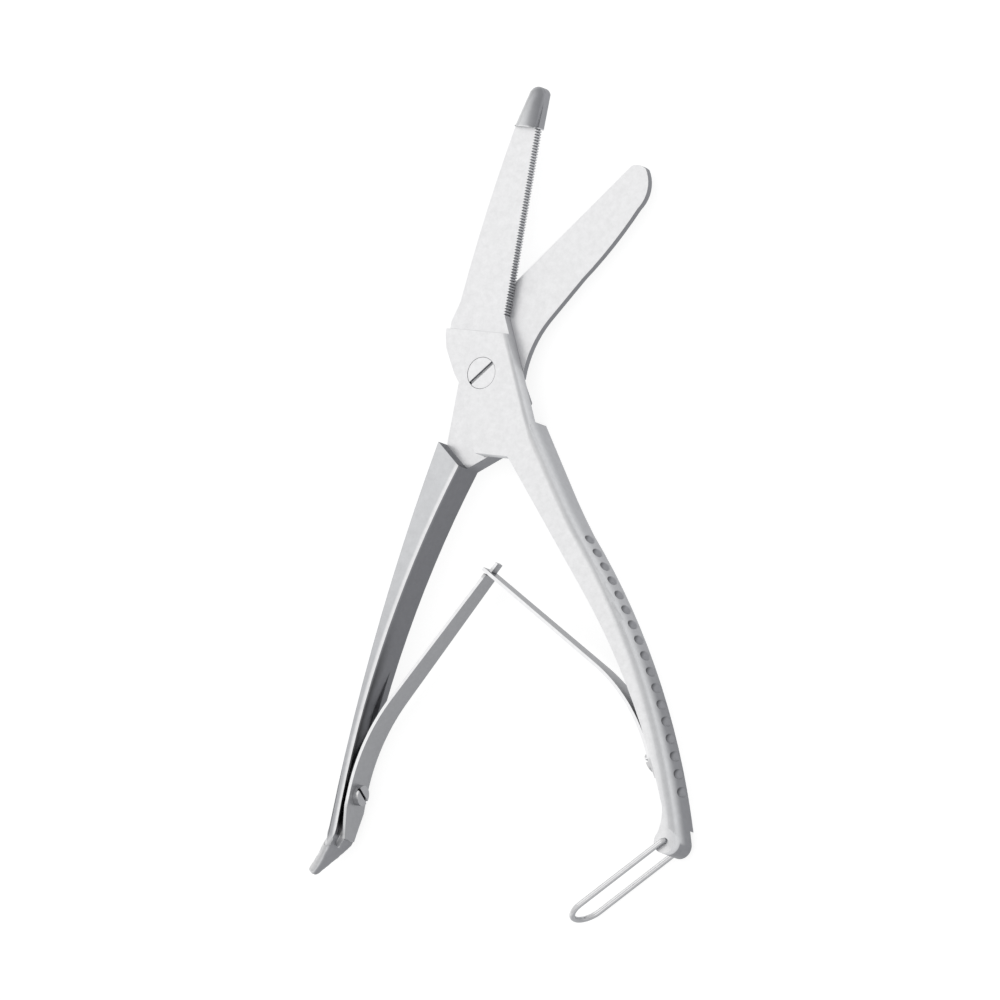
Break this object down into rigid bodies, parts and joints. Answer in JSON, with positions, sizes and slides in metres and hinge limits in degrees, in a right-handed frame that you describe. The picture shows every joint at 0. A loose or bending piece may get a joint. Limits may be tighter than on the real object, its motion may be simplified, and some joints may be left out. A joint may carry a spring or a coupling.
{
  "type": "plaster cast shears",
  "caption": "Plaster cast shears with a serrated and a plain blade, hooked channel handle, dimpled handle, crossed leaf springs and a swinging wire loop.",
  "frame": {"origin": "on the pivot's axis, in the plane that the shears rest on", "axes": "+Z along the pivot's axis, up from the rest plane; +Y along the serrated edge towards its tip; +X on the cutting side of that edge"},
  "size_m": [0.1168, 0.2255, 0.0121],
  "materials": {
    "satin_steel": "satin",
    "spring_steel": "satin",
    "bright_steel": "polished"
  },
  "bodies": {
    "front": {"front_lever": "satin_steel", "right_spring": "spring_steel", "right_spring_screw": "bright_steel"},
    "rear": {"rear_lever": "satin_steel", "pivot_screw": "satin_steel", "left_spring": "spring_steel", "left_spring_screw": "bright_steel"},
    "loop": {"lock_loop": "bright_steel"}
  },
  "joints": [
    {"name": "pivot", "type": "hinge", "parent": "front", "child": "rear", "pos_m": [0, 0, 0.005], "axis": [0, 0, 1], "range_deg": [0, 30], "stiffness_Nm_per_rad": 2.5, "springref_deg": -5.73, "deforming": ["left_spring", "right_spring"]},
    {"name": "loop_swing", "type": "hinge", "parent": "front", "child": "loop", "pos_m": [0.0828, -0.12226, 0.0052], "axis": [0, 0, 1], "range_deg": [-60, 180]}
  ]
}
